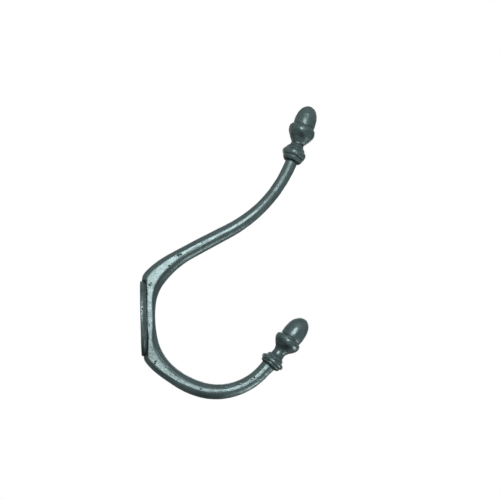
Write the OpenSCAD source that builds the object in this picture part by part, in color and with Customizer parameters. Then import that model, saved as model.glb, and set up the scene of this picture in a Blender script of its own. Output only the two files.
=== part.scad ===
// Acorn hook: a cast-iron wall hook, cast in one piece.
// An oval back plate carries a spine. A long arm rises from its top and a rounded
// hook from its foot, and each ends in a turned collar and an acorn.
// X runs out from the wall (the wall is X = 0), Y along it and Z up.
// The origin is the middle of the back of the plate.

/* [Back plate] */
// Height of the oval back plate
plate_h = 45; // [40:1:60]
// Width of the oval back plate
plate_w = 32; // [31:1:44]
// Thickness of the back plate
plate_t = 3.4; // [3.2:0.1:5]
// Rounding of the plate's edge on the wall side
back_round = 0.6; // [0.3:0.1:0.8]
// Rounding of the plate's edge on the front
front_round = 2.3; // [1:0.1:2.4]

/* [Screw holes] */
// Diameter of each screw hole
screw_d = 4.5; // [3:0.1:5]
// Diameter of each countersink at the front of the plate
head_d = 8.2; // [6:0.1:8.4]
// Spacing of the two screw holes, side by side
screw_spacing = 18.8; // [18:0.1:19.4]

/* [Spine] */
// Distance of the spine's front face from the wall
spine_out = 8.5; // [7.8:0.1:12]
// Width of the spine
spine_w = 8.6; // [7:0.1:9.4]
// Radius of the spine's front corners at mid-height
spine_corner = 1.6; // [0.8:0.1:2.6]
// Gap between the backs of the arms and the wall
wall_gap = 0.9; // [0.7:0.1:1.5]

/* [Upper arm] */
// Radius of the spine's front face above its middle
spine_top_r = 58.5; // [45:0.5:80]
// Angle through which that face turns
spine_top_turn = 8.2; // [6:0.1:10]
// Radius where the spine runs out into the upper arm
shoulder_r = 25.4; // [20:0.2:32]
// Angle through which the shoulder turns
shoulder_turn = 28.8; // [24:0.1:33]
// Radius of the upper arm before its straight
upper_sweep_r = 54; // [44:0.5:66]
// Angle through which that stretch turns
upper_sweep_turn = 25.5; // [22:0.1:29]
// Length of the straight in the upper arm
upper_straight = 25.7; // [15:0.1:40]
// Radius of the rise towards the upper collar
rise_r = 92.3; // [75:0.1:120]
// Angle through which the rise turns back
rise_turn = 40; // [32:0.1:46]
// Depth of the upper arm where it leaves the plate
upper_root_depth = 13.8; // [10:0.1:16]
// Diameter of the upper arm past its root
upper_arm_d = 9; // [7.5:0.1:11]
// Diameter of the upper arm at its waist
upper_waist_d = 7.3; // [6:0.1:9]
// Diameter of the upper arm at the collar
upper_end_d = 7.5; // [6:0.1:9]

/* [Lower hook] */
// Radius of the spine's front face below its middle
spine_foot_r = 64; // [50:0.5:80]
// Angle through which that face turns
spine_foot_turn = 10.2; // [8:0.1:12]
// Inner radius where the spine runs out into the hook
heel_r = 31.4; // [26:0.2:37]
// Angle through which that bend turns
heel_turn = 39.8; // [35:0.1:44]
// Inner radius of the hook's flatter stretch
belly_r = 47; // [38:0.5:60]
// Angle through which that stretch turns
belly_turn = 21.8; // [18:0.1:26]
// Inner radius of the bowl, round to the lower collar
bowl_r = 31.7; // [26:0.1:38]
// Angle of the bowl
bowl_turn = 66; // [58:0.1:72]
// Length of the straight below the lower collar
lower_straight = 4.6; // [3:0.1:14]
// Depth of the hook where it leaves the plate
lower_root_depth = 13.4; // [10:0.1:15]
// Diameter of the bar round the bowl
bowl_d = 9.4; // [7.5:0.1:11]
// Diameter of the bar at the lower collar
lower_end_d = 8.1; // [6:0.1:9.5]

/* [Acorns] */
// Diameter of the collar's foot, where the bar runs into it
foot_d = 10; // [9.2:0.1:11]
// Diameter of the collar's small bead, next to the bar
small_bead_d = 12.5; // [12.2:0.1:14]
// Height of the small bead
small_bead_h = 1.7; // [1.4:0.1:2.6]
// Diameter in the groove between the two beads
groove_d = 12.1; // [11:0.1:12.2]
// Diameter of the collar's large bead
large_bead_d = 14.6; // [13:0.1:16]
// Height of the large bead
large_bead_h = 3.1; // [2.6:0.1:4.4]
// Diameter of the tapered ring where it leaves the large bead
ring_d = 11.5; // [10.4:0.1:12]
// Diameter of the tapered ring at its top
ring_top_d = 9.5; // [8.6:0.1:10]
// Height of the tapered ring
ring_h = 2.2; // [1:0.1:3]
// Height of the hollow from the ring up to the neck
cove_h = 2.8; // [1.6:0.1:4]
// Diameter of the neck
neck_d = 7.6; // [6.5:0.1:8.2]
// Height of the cup's underside, from the neck to its widest
cup_under_h = 8.1; // [6:0.1:10]
// How full that underside is: 0 is a wave, 1 a bowl
cup_fullness = 0; // [0:0.1:1]
// Diameter of the acorn's cup
cup_d = 16.25; // [14.5:0.05:19]
// Height of the cup's rim above its widest
cup_rim_h = 2.5; // [2:0.1:4]
// Diameter in the crease between the cup and the nut
crease_d = 12.7; // [11:0.1:13.2]
// Diameter of the nut
nut_d = 13.65; // [13.3:0.05:14.6]
// Height of the nut's widest above the cup
nut_belly_h = 2.7; // [1.5:0.1:4]
// Length of the nut above its widest
nut_tip_h = 12; // [8:0.1:18]
// Depth of the turned line between the tapered ring and the hollow
turned_line = 0.2; // [0.1:0.05:0.35]
// How far the lower acorn stands more upright than the end of its arm
lower_lean = 2.2; // [-5:0.1:10]
// How far the lower collar sits to the outside of its arm's centre line
lower_shift = 0.6; // [-1:0.1:1]
// How deep the lower bar's end sinks into its collar
lower_sunk = 1; // [0.5:0.1:2]

/* [Upper acorn, where it differs] */
// Diameter of the upper collar's foot
upper_foot_d = 9.6; // [8.8:0.1:10.6]
// Diameter of the upper small bead
upper_small_bead_d = 12.2; // [11.8:0.1:13.6]
// Height of the upper small bead
upper_small_bead_h = 2.9; // [2.4:0.1:3.6]
// Diameter in the upper groove between the two beads
upper_groove_d = 12.5; // [11.6:0.1:13]
// Height of the upper large bead
upper_large_bead_h = 4.1; // [3.6:0.1:5]
// Diameter of the upper tapered ring where it leaves the large bead
upper_ring_d = 12.6; // [11.4:0.1:13.2]
// Diameter of the upper tapered ring at its top
upper_ring_top_d = 10.6; // [9.4:0.1:11]
// Diameter of the upper neck
upper_neck_d = 8.3; // [7.4:0.1:8.8]
// How full the underside of the upper cup is: 0 is a wave, 1 a bowl
upper_cup_fullness = 0.9; // [0:0.1:1]
// Diameter of the upper cup
upper_cup_d = 16.6; // [15:0.1:18]
// Height of the upper cup's rim above its widest
upper_cup_rim_h = 2.9; // [2.4:0.1:4]
// Diameter in the upper crease between the cup and the nut
upper_crease_d = 13.2; // [12:0.1:13.2]
// Height of the upper nut's widest above the cup
upper_nut_belly_h = 2; // [1.5:0.1:4]
// Length of the upper nut above its widest
upper_nut_tip_h = 11.5; // [8:0.1:16]
// How far the upper acorn stands more upright than the end of its arm
upper_lean = 1.5; // [-5:0.1:10]
// How far the upper collar sits to the outside of its arm's centre line
upper_shift = 0.15; // [-1:0.05:1]
// How deep the upper bar's end sinks into its collar
upper_sunk = 2.2; // [1:0.1:3]

/* [Hidden] */
iron = [0.27, 0.34, 0.34];
// Sides of the bar and the spacing of its rings
sides = 24;
ring_step = 2.2;
// Points round the plate's edge and over each of its roundings
plate_sides = 72;
round_steps = 4;
// Facets of the bores and of the turned acorns
fine = 96;
// Steps along each turned curve
curve_steps = 10;
// How much of the corner where the arms' backs reach the wall gap is rounded off
corner_blend = 1;
// Overshoot of the cutting tools
extra = 1;
// How full the nut is: 2 is a plain ellipse, more is blunter
nut_fullness = 2.5;

function arc_length(r, turn) = r * turn * PI / 180;

// Each chain is a list of [length, turn], from the middle of the spine outwards.
upper_chain = [
    [arc_length(spine_top_r, spine_top_turn), -spine_top_turn],
    [arc_length(shoulder_r, shoulder_turn), -shoulder_turn],
    [arc_length(upper_sweep_r, upper_sweep_turn), -upper_sweep_turn],
    [upper_straight, 0],
    [arc_length(rise_r, rise_turn), rise_turn],
];
lower_chain = [
    [arc_length(spine_foot_r, spine_foot_turn), spine_foot_turn],
    [arc_length(heel_r, heel_turn), heel_turn],
    [arc_length(belly_r, belly_turn), belly_turn],
    [arc_length(bowl_r, bowl_turn), bowl_turn],
    [lower_straight, 0],
];

function total(chain, i = 0) = i == len(chain) ? 0 : chain[i][0] + total(chain, i + 1);

// One arc from [x, z, heading]: its chord leaves at half the turn.
function step(p, length, turn) =
    let (chord = abs(turn) < 0.001 ? length : length * sin(turn / 2) / (turn / 2 * PI / 180))
    [p[0] + chord * cos(p[2] + turn / 2), p[1] + chord * sin(p[2] + turn / 2), p[2] + turn];

// Place and heading on the inner edge at a distance along a chain.
function walk(chain, d, p, i = 0) =
    d <= chain[i][0] || i == len(chain) - 1
        ? step(p, d, chain[i][1] * d / chain[i][0])
        : walk(chain, d - chain[i][0], step(p, chain[i][0], chain[i][1]), i + 1);

// Smooth change from a to b while d runs from d0 to d1.
function ease(a, b, d, d0, d1) =
    let (u = min(1, max(0, (d - d0) / (d1 - d0))))
    a + (b - a) * u * u * (3 - 2 * u);

// The smaller of two lengths, with the corner between them rounded.
function soft_min(a, b) = (a + b - sqrt(pow(a - b, 2) + pow(corner_blend, 2))) / 2;

upper_len = total(upper_chain);
lower_len = total(lower_chain);
// Where the roots start and end, and where the bars reach their waist and their last size
upper_root_start = upper_chain[0][0] + shoulder_r * 0.25;
upper_root_end = upper_chain[0][0] + upper_chain[1][0] + upper_chain[2][0];
upper_waist_at = upper_len - rise_r * 0.29;
lower_root_start = lower_chain[0][0];
lower_root_end = lower_chain[0][0] + lower_chain[1][0] + lower_chain[2][0] * 0.15;
lower_slim_start = lower_chain[0][0] + lower_chain[1][0] + lower_chain[2][0] * 0.75;
lower_slim_end = lower_len - lower_straight;
// Where the flat sides of the spine start to run out along the arms, and where they are gone
upper_flat_end = upper_root_end * 0.75;
upper_round_at = upper_root_end + upper_straight * 0.5;
lower_flat_end = lower_root_end * 0.75;
lower_round_at = lower_root_end * 1.3;

function upper_depth(d) =
    d < upper_root_end ? ease(upper_root_depth, upper_arm_d, d, upper_root_start, upper_root_end)
    : d < upper_waist_at ? ease(upper_arm_d, upper_waist_d, d, upper_root_end, upper_waist_at)
    : ease(upper_waist_d, upper_end_d, d, upper_waist_at, upper_len);

function lower_depth(d) =
    d < lower_root_end ? ease(lower_root_depth, bowl_d, d, lower_root_start, lower_root_end)
    : ease(bowl_d, lower_end_d, d, lower_slim_start, lower_slim_end);

// Station on a bar: [inner point, outward normal, depth, width, inner radius, outer radius].
// outer is 1 where the outside lies to the left of the heading and -1 to its right. The flat
// sides run out between flat_end and round_at.
function station(p, outer, depth, root_start, flat_end, round_at, d) =
    let (
        n = [-sin(p[2]) * outer, cos(p[2]) * outer],
        room = n[0] < -0.01 ? (p[0] - wall_gap) / -n[0] : depth * 100,
        t = soft_min(depth, room),
        w = ease(spine_w, depth, d, flat_end, round_at),
        inner_r = min(ease(spine_corner, min(w, t) / 2, d, 0, root_start * 1.6), w / 2, t / 2)
    )
    [p, n, t, w, inner_r, min(w / 2, t - inner_r)];

function upper_station(d) =
    station(walk(upper_chain, d, [spine_out, 0, 90]), 1, upper_depth(d),
            upper_root_start, upper_flat_end, upper_round_at, d);
function lower_station(d) =
    station(walk(lower_chain, d, [spine_out, 0, -90]), -1, lower_depth(d),
            lower_root_start, lower_flat_end, lower_round_at, d);

// Rounded rectangle of a station, as points round the bar.
function ring(s) =
    let (quarter = sides / 4)
    [for (i = [0 : sides - 1])
        let (
            corner = floor(i / quarter),
            a = corner * 90 + (i - corner * quarter + 0.5) * 90 / quarter,
            r = corner < 2 ? s[5] : s[4],
            y = (s[3] / 2 - r) * (corner == 0 || corner == 3 ? 1 : -1) + r * cos(a),
            out = (corner < 2 ? s[2] - r : r) + r * sin(a)
        )
        [s[0][0] + s[1][0] * out, y, s[0][1] + s[1][1] * out]];

// Closed skin over rings that all have the same number of points.
module loft(rings) {
    n = len(rings[0]);
    m = len(rings);
    polyhedron(
        points = [for (r = rings) each r],
        faces = concat(
            [[for (i = [0 : n - 1]) i]],
            [for (j = [0 : m - 2], i = [0 : n - 1]) each [
                [j * n + i, (j + 1) * n + i, j * n + (i + 1) % n],
                [j * n + (i + 1) % n, (j + 1) * n + i, (j + 1) * n + (i + 1) % n]
            ]],
            [[for (i = [n - 1 : -1 : 0]) (m - 1) * n + i]]
        )
    );
}

// The whole bar, from the lower collar through the spine to the upper collar.
module bar() {
    n_low = ceil(lower_len / ring_step);
    n_up = ceil(upper_len / ring_step);
    loft(concat(
        [for (i = [n_low : -1 : 1]) ring(lower_station(lower_len * i / n_low))],
        [for (i = [0 : n_up]) ring(upper_station(upper_len * i / n_up))]
    ));
}

// Oval of the plate, drawn in by an inset, at a height off the wall.
function oval(inset, x) =
    [for (i = [0 : plate_sides - 1])
        let (a = i * 360 / plate_sides)
        [x, (plate_w / 2 - inset) * cos(a), (plate_h / 2 - inset) * sin(a)]];

module plate() {
    difference() {
        loft(concat(
            [for (i = [0 : round_steps])
                let (a = i * 90 / round_steps)
                oval(back_round * (1 - sin(a)), back_round * (1 - cos(a)))],
            [for (i = [round_steps : -1 : 0])
                let (a = i * 90 / round_steps)
                oval(front_round * (1 - sin(a)), plate_t - front_round * (1 - cos(a)))]
        ));
        for (side = [-1, 1])
            translate([0, side * screw_spacing / 2, 0])
                screw_hole();
    }
}

// Bore and countersink along X, cut from the back of the plate to past its front.
module screw_hole() {
    depth = (head_d - screw_d) / 2;
    rotate([0, 90, 0]) {
        translate([0, 0, -extra])
            cylinder(d = screw_d, h = plate_t + 2 * extra, $fn = fine);
        translate([0, 0, plate_t - depth])
            cylinder(d1 = screw_d, d2 = head_d + 2 * extra, h = depth + extra, $fn = fine);
    }
}

// Half-oval bead of a turned profile, bulging to d between the diameters at its two edges:
// [radius, height] points up its outside, without the last.
function bead(low_d, d, high_d, z, h) =
    [for (i = [0 : curve_steps - 1])
        let (
            a = 180 * i / curve_steps,
            up = (1 - cos(a)) / 2,
            edge_d = low_d + (high_d - low_d) * up
        )
        [edge_d / 2 + (d - (low_d + high_d) / 2) / 2 * sin(a), z + h * up]];

// Hollow from one radius in to the neck's, starting at height z.
function cove(from, neck, z) =
    [for (i = [0 : curve_steps])
        let (a = 90 * i / curve_steps)
        [neck + (from - neck) * (1 - sin(a)), z + cove_h * (1 - cos(a))]];
// The cup's underside, from the neck out to its widest.
function cup_under(neck, cup, z, full) =
    [for (i = [1 : 2 * curve_steps])
        let (u = i / (2 * curve_steps), wave = (1 - cos(180 * u)) / 2, bowl = sin(90 * u))
        [neck + (cup - neck) * (wave + (bowl - wave) * full), z + cup_under_h * u]];
// Rim of the cup, closing in to the crease, then the nut with its blunt tip.
function cup_rim(cup, crease, z, h) =
    [for (i = [1 : curve_steps])
        let (a = 90 * i / curve_steps)
        [crease + (cup - crease) * cos(a), z + h * sin(a)]];
function nut(crease, z, belly_h, tip_h) = concat(
    [for (i = [1 : curve_steps - 1])
        let (a = 90 * i / curve_steps)
        [crease + (nut_d / 2 - crease) * sin(a), z + belly_h * (1 - cos(a))]],
    [for (i = [0 : 2 * curve_steps])
        let (u = sin(90 * i / (2 * curve_steps)))
        [nut_d / 2 * sqrt(1 - pow(u, nut_fullness)), z + belly_h + tip_h * u]]);

// Collar and acorn, turned about +Z: beads is [foot d, small d, small h, groove d, large h],
// ring [lower d, upper d], cup [neck d, fullness, d, rim h] and top [crease d, belly h, tip h].
module acorn(beads, ring, cup, top) {
    ring_z = beads[2] + beads[4];
    cove_z = ring_z + ring_h;
    neck_z = cove_z + cove_h;
    cup_z = neck_z + cup_under_h;
    rotate_extrude($fn = fine)
        polygon(concat(
            [[0, 0]],
            bead(beads[0], beads[1], beads[3], 0, beads[2]),
            bead(beads[3], large_bead_d, ring[0], beads[2], beads[4]),
            [[ring[0] / 2, ring_z], [ring[1] / 2, cove_z]],
            cove(ring[1] / 2 - turned_line, cup[0] / 2, cove_z),
            cup_under(cup[0] / 2, cup[2] / 2, neck_z, cup[1]),
            cup_rim(cup[2] / 2, top[0] / 2, cup_z, cup[3]),
            nut(top[0] / 2, cup_z + cup[3], top[1], top[2])
        ));
}

// Stands its children on the end of a bar, turned by lean, moved outwards by shift and
// sunk on to the bar.
module on_end(s, lean, shift, sunk) {
    heading = s[0][2];
    mid = s[2] / 2 + shift;
    translate([s[0][0] + s[1][0] * mid, 0, s[0][1] + s[1][1] * mid])
        rotate([0, 90 - heading - lean, 0])
            translate([0, 0, -sunk])
                children();
}

module hook() {
    color(iron) {
        plate();
        bar();
        on_end(lower_station(lower_len), lower_lean, lower_shift, lower_sunk)
            acorn([foot_d, small_bead_d, small_bead_h, groove_d, large_bead_h],
                  [ring_d, ring_top_d],
                  [neck_d, cup_fullness, cup_d, cup_rim_h],
                  [crease_d, nut_belly_h, nut_tip_h]);
        on_end(upper_station(upper_len), upper_lean, upper_shift, upper_sunk)
            acorn([upper_foot_d, upper_small_bead_d, upper_small_bead_h, upper_groove_d,
                   upper_large_bead_h],
                  [upper_ring_d, upper_ring_top_d],
                  [upper_neck_d, upper_cup_fullness, upper_cup_d, upper_cup_rim_h],
                  [upper_crease_d, upper_nut_belly_h, upper_nut_tip_h]);
    }
}

hook();
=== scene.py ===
"""Acorn hook: a cast-iron wall hook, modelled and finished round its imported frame.

The casting is one piece of iron in four surfaces that run into each other: the oval back
plate, the bar that makes both arms and the spine, and the two turned acorns.  X runs out
from the wall, Y along it and Z up.  Shapes are worked out in millimetres as whole arrays
and put into Blender in metres.
"""

import logging
import math
from dataclasses import dataclass, field
from enum import Enum, IntEnum

import bmesh
import bpy
import numpy as np
from mathutils import Matrix, Vector


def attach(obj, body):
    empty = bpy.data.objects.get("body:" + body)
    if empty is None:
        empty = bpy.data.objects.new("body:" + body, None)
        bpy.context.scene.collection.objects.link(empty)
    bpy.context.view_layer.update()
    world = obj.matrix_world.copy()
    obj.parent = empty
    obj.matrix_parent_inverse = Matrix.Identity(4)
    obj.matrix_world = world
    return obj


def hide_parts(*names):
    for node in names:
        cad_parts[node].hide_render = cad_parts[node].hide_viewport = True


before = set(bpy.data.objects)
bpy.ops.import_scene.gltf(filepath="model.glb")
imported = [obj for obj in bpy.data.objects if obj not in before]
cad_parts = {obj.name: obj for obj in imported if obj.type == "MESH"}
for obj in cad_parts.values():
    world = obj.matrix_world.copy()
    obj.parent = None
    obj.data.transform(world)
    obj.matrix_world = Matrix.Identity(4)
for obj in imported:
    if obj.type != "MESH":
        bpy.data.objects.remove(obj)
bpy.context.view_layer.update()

MM = 0.001
# Keeps every lattice point of the noise above nought.
LATTICE_ORIGIN = 1000.0
NODE = "hook"
BODY = "root"

Array = np.ndarray
Pair = tuple[float, float]
Triple = tuple[float, float, float]
Colour = tuple[float, float, float, float]
Socket = bpy.types.NodeSocket
Tree = bpy.types.NodeTree

log = logging.getLogger("acorn_hook")


class Arm(Enum):
    """The two arms that leave the spine; 1 has its back to the left of its heading."""

    UPPER = 1
    LOWER = -1


class Field(IntEnum):
    """The noise fields, each with the number that seeds it."""

    SWELL = 3
    RIPPLE = 5
    PEBBLE = 7
    FETTLED = 11
    TURNED = 21
    BLOTCH = 31
    PITS = 41


# --- Curves and noise ---


def ease(a: float, b: float, d: Array, d0: float, d1: float) -> Array:
    """Smooth change from one value to another along a distance.

    With u = (d - d0) / (d1 - d0) held between 0 and 1, the value is
    a + (b - a) (3 u^2 - 2 u^3).

    Args:
        a, b: Values up to d0 and from d1 on.
        d: Distances.
        d0, d1: Where the change starts and ends.

    Returns:
        The value at each distance.
    """
    u = np.clip((d - d0) / (d1 - d0), 0.0, 1.0)
    return a + (b - a) * u * u * (3.0 - 2.0 * u)


@dataclass(frozen=True)
class Fade:
    """An eased change with its four numbers: first and last value, start and end."""

    first: float
    last: float
    start: float
    end: float

    def at(self, d: Array) -> Array:
        """The value at each place."""
        return ease(self.first, self.last, d, self.start, self.end)


def lattice_hash(cell: Array, seed: int) -> Array:
    """A repeatable number from 0 to 1 for each lattice point, by mixing its three whole numbers.

    Args:
        cell: Whole-number lattice points, with x, y, z last.
        seed: Chooses one field out of many.

    Returns:
        One number for each lattice point.
    """
    c = cell.astype(np.uint32)
    h = np.uint32(seed * 2654435761 % 2**32)
    for axis, factor in enumerate((73856093, 19349663, 83492791)):
        h = h ^ c[..., axis] * np.uint32(factor)
    for shift, factor in ((15, 2246822519), (13, 3266489917)):
        h = (h ^ (h >> np.uint32(shift))) * np.uint32(factor)
    return (h ^ (h >> np.uint32(16))).astype(float) / 2**32


def smooth_noise(points: Array, size: float, seed: int) -> Array:
    """Smooth noise from 0 to 1: lattice numbers blended over each cell by 3 f^2 - 2 f^3.

    Args:
        points: Places in millimetres, with x, y, z last.
        size: Size of a lattice cell in millimetres.
        seed: Chooses one field out of many.

    Returns:
        The noise at each place.
    """
    q = points / size + LATTICE_ORIGIN
    cell = np.floor(q)
    f = q - cell
    f = f * f * (3.0 - 2.0 * f)
    total = np.zeros(points.shape[:-1])
    for corner in np.ndindex(2, 2, 2):
        offset = np.array(corner)
        weight = np.prod(np.where(offset == 1, f, 1.0 - f), axis=-1)
        total += weight * lattice_hash(cell + offset, seed)
    return total


@dataclass(frozen=True)
class Arc:
    """A stretch of a bar's inner edge: an arc, or a straight where the turn is nought.

    The turn is in degrees, to the left where it is positive.
    """

    length: float
    turn: float

    @staticmethod
    def of(radius: float, turn: float) -> "Arc":
        """An arc of a radius through a signed turn in degrees."""
        return Arc(radius * math.radians(abs(turn)), turn)


@dataclass(frozen=True)
class Chain:
    """Arcs run end to end in the plane of the hook, from a start point and heading."""

    start: Triple
    arcs: tuple[Arc, ...]

    @property
    def length(self) -> float:
        """Whole length of the chain."""
        return self.reach(len(self.arcs))

    def reach(self, count: float) -> float:
        """Length of the first arcs; the part of count after the point is a share of the next."""
        return sum(arc.length * min(max(count - k, 0.0), 1.0) for k, arc in enumerate(self.arcs))

    def walk(self, d: Array) -> tuple[Array, Array]:
        """Places and headings at distances along the chain.

        On each arc the chord leaves at half the angle turned so far, and its length is
        the distance times sin(half) / half.

        Args:
            d: Distances from the start.

        Returns:
            Points (n, 2) as x and z, and headings (n,) in radians.
        """
        points = np.zeros((len(d), 2))
        headings = np.zeros(len(d))
        x, z, heading = self.start[0], self.start[1], math.radians(self.start[2])
        done = 0.0
        for arc in self.arcs:
            here = d >= done - 1e-9
            along = np.clip(np.append(d[here] - done, arc.length), 0.0, arc.length)
            turned = math.radians(arc.turn) * along / arc.length
            chord = along * np.sinc(turned / 2.0 / np.pi)
            xs = x + chord * np.cos(heading + turned / 2.0)
            zs = z + chord * np.sin(heading + turned / 2.0)
            points[here] = np.stack([xs[:-1], zs[:-1]], axis=1)
            headings[here] = heading + turned[:-1]
            x, z, heading = xs[-1], zs[-1], heading + turned[-1]
            done += arc.length
        return points, headings


# --- Meshes ---


def outward_normals(grid: Array) -> Array:
    """Unit normals of a grid: the cross product of its two tangents by differences.

    Args:
        grid: Points (rows, columns, 3); the columns close on themselves.

    Returns:
        Unit normals of the grid's shape, pointing away from the rows' middles.
    """
    along = np.gradient(grid, axis=0)
    around = np.roll(grid, -1, axis=1) - np.roll(grid, 1, axis=1)
    normal = np.cross(along, around)
    normal = normal / np.maximum(np.linalg.norm(normal, axis=-1, keepdims=True), 1e-12)
    away = grid - grid.mean(axis=1, keepdims=True)
    return normal * np.sign((away * normal).sum())


def grid_faces(rows: int, columns: int, closed_rows: bool = False) -> Array:
    """Four-sided faces between neighbouring rows and columns of a grid.

    Args:
        rows: Number of rows.
        columns: Number of columns, which close on themselves.
        closed_rows: Whether the last row joins the first too.

    Returns:
        Faces (n, 4) as point numbers.
    """
    i = np.arange(rows if closed_rows else rows - 1)[:, None]
    j = np.arange(columns)[None, :]
    below, above = (i + 1) % rows, (j + 1) % columns
    corners = (i * columns + j, below * columns + j, below * columns + above, i * columns + above)
    return np.stack([np.broadcast_to(c, (len(i), columns)) for c in corners], axis=-1).reshape(-1, 4)


def new_object(name: str, data: bpy.types.ID) -> bpy.types.Object:
    """Puts a mesh, lamp or camera into the scene as an object at the origin.

    Args:
        name: The object's name.
        data: What it shows.

    Returns:
        The object.
    """
    thing = bpy.data.objects.new(name, data)
    bpy.context.scene.collection.objects.link(thing)
    return thing


@dataclass
class Skin:
    """A surface waiting to become a piece: its points, faces and two values per point.

    recess is nought on open metal and rises towards one where shade is painted in:
    in grooves, corners, pits and joints and under the bowl and cup.  It also holds the random dark
    blotches on the plate's rim.  dull is nought where handling has rubbed the metal bright and one
    where the cast skin is left.
    """

    points: Array
    faces: Array
    recess: Array
    dull: Array

    @staticmethod
    def of_grid(grid: Array, recess: Array, dull: Array) -> "Skin":
        """A skin of a grid whose columns close, with values for each row or point.

        Args:
            grid: Points (rows, columns, 3).
            recess: Painted shade and blotch values, held between 0 and 1 here.
            dull: Dull values.

        Returns:
            The skin.
        """
        recess, dull = (np.broadcast_to(v, grid.shape[:2]).reshape(-1) for v in (recess, dull))
        faces = grid_faces(*grid.shape[:2])
        return Skin(grid.reshape(-1, 3), faces, np.clip(recess, 0.0, 1.0), dull)

    def to_piece(self, name: str, sharp_deg: float) -> bpy.types.Object:
        """Makes the piece: one closed mesh with outward normals, its object at the origin.

        Args:
            name: The piece's name.
            sharp_deg: Edges turning by more than this stay crisp.

        Returns:
            The new object.
        """
        mesh = bpy.data.meshes.new(name)
        mesh.from_pydata((self.points * MM).tolist(), [], self.faces.tolist())
        # The first value is painted shade, with the plate rim's random blotches.
        for label, numbers in (("recess", self.recess), ("dull", self.dull)):
            value = mesh.attributes.new(label, "FLOAT", "POINT")
            value.data.foreach_set("value", numbers.astype(np.float32))
        shell = bmesh.new()
        shell.from_mesh(mesh)
        bmesh.ops.remove_doubles(shell, verts=shell.verts, dist=1e-7)
        holes = [edge for edge in shell.edges if edge.is_boundary]
        if holes:
            bmesh.ops.holes_fill(shell, edges=holes, sides=0)
        bmesh.ops.recalc_face_normals(shell, faces=shell.faces)
        shell.to_mesh(mesh)
        shell.free()
        mesh.polygons.foreach_set("use_smooth", np.ones(len(mesh.polygons), bool))
        mesh.set_sharp_from_angle(angle=math.radians(sharp_deg))
        mesh.update()
        return new_object(name, mesh)


@dataclass(frozen=True)
class CastSkin:
    """The uneven skin that sand casting leaves, as a depth below the true surface."""

    swell_size: float = 7.0
    swell_depth: float = 0.06
    ripple_size: float = 2.4
    ripple_depth: float = 0.055
    pebble_size: float = 1.05
    pebble_depth: float = 0.026

    def depth(self, points: Array, gain: float | Array = 1.0) -> Array:
        """How far the skin lies below the true surface: three sizes of smooth noise.

        Args:
            points: Places on the surface in millimetres.
            gain: How many times deeper the two finer sizes are than on the bar.

        Returns:
            Depths in millimetres, nought or more.
        """
        fine = self.ripple_depth * smooth_noise(points, self.ripple_size, Field.RIPPLE)
        fine += self.pebble_depth * smooth_noise(points, self.pebble_size, Field.PEBBLE)
        return self.swell_depth * smooth_noise(points, self.swell_size, Field.SWELL) + gain * fine

    def middle(self, gain: float | Array) -> float | Array:
        """The skin's mean depth in millimetres: half of the deepest that it goes."""
        return (self.swell_depth + gain * (self.ripple_depth + self.pebble_depth)) / 2.0


# --- The bar: both arms and the spine ---


@dataclass(frozen=True)
class Stations:
    """Sections along an arm, as whole arrays; d is each one's distance along the arm."""

    d: Array
    points: Array
    headings: Array
    back: Array
    depth: Array
    width: Array
    inner_r: Array
    outer_r: Array

    def out_from_edge(self, rows: Array) -> Array:
        """How far out each point lies from its section's inner edge, along the section."""
        return ((rows[..., [0, 2]] - self.points[:, None, :]) * self.back[:, None, :]).sum(axis=-1)


@dataclass(frozen=True)
class Scar:
    """A blowhole, nick or scratch on the side of the bar.

    along and across place its middle: the distance along its arm and the share of the
    bar's depth, from the inner edge out.  length and width are its reach along and across
    the bar before it is turned by lean degrees.
    """

    along: float
    across: float
    length: float
    width: float
    depth: float
    lean: float = 0.0
    side: int = -1
    fall: float = 2.5

    def sunk(self, rows: Array, s: Stations, out: Array) -> Array:
        """Its depth at each point: a bell exp(-fall r^2) over its oval, on its own side only.

        Args:
            rows: Points round each section.
            s: The sections.
            out: Distances from the inner edge.

        Returns:
            Depths in millimetres.
        """
        lean = math.radians(self.lean)
        run, rise = (s.d - self.along)[:, None], out - self.across * s.depth[:, None]
        along = (run * math.cos(lean) + rise * math.sin(lean)) / self.length
        across = (rise * math.cos(lean) - run * math.sin(lean)) / self.width
        bell = np.exp(-self.fall * (along**2 + across**2))
        return self.depth * bell * (rows[..., 1] * self.side > 0.5)


@dataclass(frozen=True)
class PaintedShade:
    """A stretch of painted shade on the lower hook's outer side.

    A bell along the arm, faded in and out across it by shares of the bar's depth.
    """

    along: float
    reach: float
    inner: Fade
    outer: Fade

    def at(self, d: Array, share: Array) -> Array:
        """Its darkness at distances along the arm and shares of the bar's depth."""
        bell = np.exp(-(((d - self.along) / self.reach) ** 2))[:, None]
        return bell * self.inner.at(share) * self.outer.at(share)


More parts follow.
